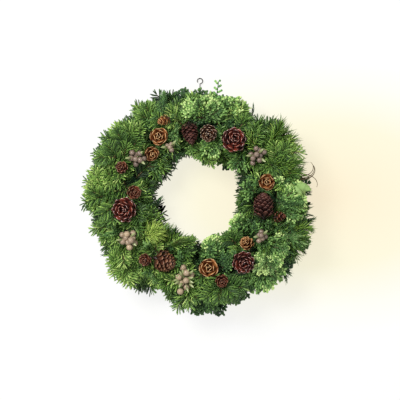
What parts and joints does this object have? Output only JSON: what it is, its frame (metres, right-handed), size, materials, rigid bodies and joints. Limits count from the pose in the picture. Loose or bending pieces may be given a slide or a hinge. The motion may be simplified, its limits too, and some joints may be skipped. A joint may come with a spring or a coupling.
{
  "type": "fresh evergreen wreath",
  "caption": "Round fresh evergreen wreath: mixed fir and cypress greenery with pine cones, larch cones and silvery brunia berries stuck in a floral foam ring, with a wire hanger at the top.",
  "frame": {"origin": "middle of the whole outline in plan, on the surface that the wreath's back rests on", "axes": "+Z out of the display side, +Y towards the hanger at the wreath's top, +X to the viewer's right"},
  "size_m": [0.378, 0.3932, 0.0901],
  "materials": {
    "fir_greenery": "dark green flat fir needles with paler undersides",
    "cypress_greenery": "blue-green to pale mint scale-leaved cypress sprays",
    "yellow_green_greenery": "yellow-green long fine needles",
    "pine_cone": "glossy red-brown woody scales with tan rims",
    "larch_cone": "brown petal-like scales with pale golden rims",
    "brunia_berries": "silvery pinkish-beige, finely knobbed",
    "floral_foam": "dark green crumbly wet foam",
    "tray": "dark green moulded plastic",
    "hanger_wire": "dark annealed florist's wire"
  },
  "bodies": {
    "root": {"berries_bottom": "brunia_berries", "berries_bottom_left": "brunia_berries", "berries_bottom_right": "brunia_berries", "berries_left": "brunia_berries", "berries_right": "brunia_berries", "berries_top_left": "brunia_berries", "bunch_inner_01": "yellow_green_greenery", "bunch_inner_02": "yellow_green_greenery", "bunch_inner_03": "cypress_greenery", "bunch_inner_04": "fir_greenery", "bunch_inner_05": "fir_greenery", "bunch_inner_06": "fir_greenery", "bunch_inner_07": "fir_greenery", "bunch_inner_08": "cypress_greenery", "bunch_inner_09": "yellow_green_greenery", "bunch_inner_10": "cypress_greenery", "bunch_outer_high_01": "yellow_green_greenery", "bunch_outer_high_02": "yellow_green_greenery", "bunch_outer_high_03": "yellow_green_greenery", "bunch_outer_high_04": "cypress_greenery", "bunch_outer_high_05": "fir_greenery", "bunch_outer_high_06": "fir_greenery", "bunch_outer_high_07": "fir_greenery", "bunch_outer_high_08": "fir_greenery", "bunch_outer_high_09": "cypress_greenery", "bunch_outer_high_10": "yellow_green_greenery", "bunch_outer_high_11": "yellow_green_greenery", "bunch_outer_low_01": "yellow_green_greenery", "bunch_outer_low_02": "yellow_green_greenery", "bunch_outer_low_03": "cypress_greenery", "bunch_outer_low_04": "cypress_greenery", "bunch_outer_low_05": "fir_greenery", "bunch_outer_low_06": "fir_greenery", "bunch_outer_low_07": "fir_greenery", "bunch_outer_low_08": "fir_greenery", "bunch_outer_low_09": "cypress_greenery", "bunch_outer_low_10": "cypress_greenery", "bunch_outer_low_11": "yellow_green_greenery", "bunch_outer_low_12": "cypress_greenery", "cone_dark_right": "pine_cone", "cone_dark_top": "pine_cone", "cone_frosted_top": "pine_cone", "cone_golden_rimmed": "pine_cone", "cone_golden_scaled": "pine_cone", "cone_lying_bottom_left": "pine_cone", "cone_open_bottom_right": "pine_cone", "cone_open_left": "pine_cone", "cone_open_top_right": "pine_cone", "cone_red_left": "pine_cone", "cone_rose_bottom": "larch_cone", "cone_rose_far_left": "larch_cone", "cone_rose_left": "larch_cone", "cone_rose_right": "larch_cone", "cone_small_bottom": "pine_cone", "cone_small_bottom_left": "pine_cone", "cone_small_left": "pine_cone", "cone_small_right": "pine_cone", "foam_ring": "floral_foam", "hanging_wire": "hanger_wire", "tray": "tray"}
  },
  "joints": []
}
